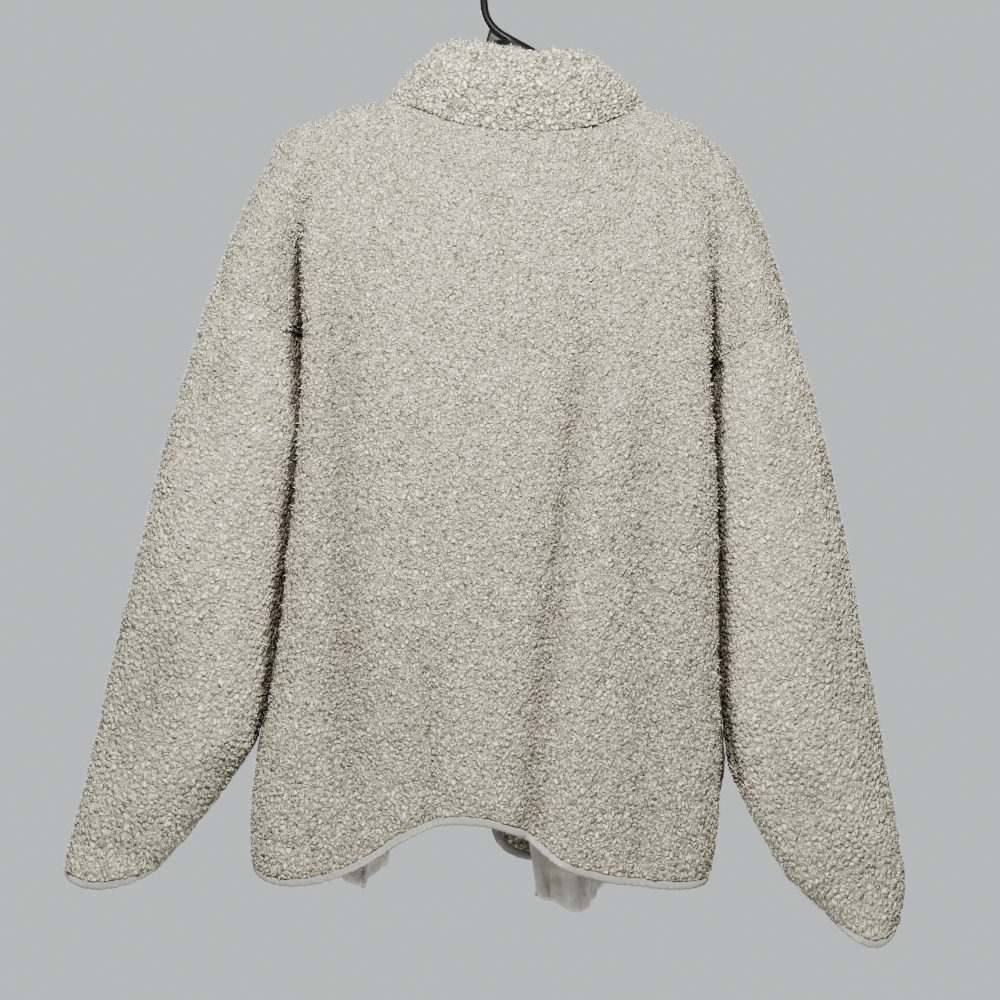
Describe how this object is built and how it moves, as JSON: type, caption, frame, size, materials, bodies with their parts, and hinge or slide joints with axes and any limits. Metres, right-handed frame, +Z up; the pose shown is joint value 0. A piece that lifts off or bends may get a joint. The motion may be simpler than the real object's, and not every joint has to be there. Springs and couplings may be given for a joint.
{
  "type": "sherpa jacket on hanger",
  "caption": "Boxy sherpa jacket with stand collar, dropped shoulders, bound hem and cuffs and open front, hung on a plastic hanger.",
  "frame": {"origin": "Top of the inside of the hanger's hook, where it hangs on its peg.", "axes": "+Z up. The jacket's back faces -Y and its open front +Y. The wearer's left sleeve is toward -X. The hanger is tipped 3.1 degrees, its -X end higher."},
  "size_m": [0.778, 0.1324, 0.9093],
  "materials": {
    "sherpa": "cream sherpa pile, matte",
    "binding_cloth": "smooth off-white stretch binding",
    "pocket_cloth": "thin off-white woven pocket cloth",
    "black_plastic": "glossy black moulding"
  },
  "bodies": {
    "root": {"back": "sherpa", "front_left": "sherpa", "front_right": "sherpa", "sleeve_left": "sherpa", "sleeve_right": "sherpa", "collar": "sherpa", "binding_back_hem": "binding_cloth", "binding_front_left": "binding_cloth", "binding_front_right": "binding_cloth", "binding_cuff_left": "binding_cloth", "binding_cuff_right": "binding_cloth", "pocket_welt_left": "binding_cloth", "pocket_welt_right": "binding_cloth", "pocket_bag_left": "pocket_cloth", "pocket_bag_right": "pocket_cloth", "hanger": "black_plastic"}
  },
  "joints": []
}
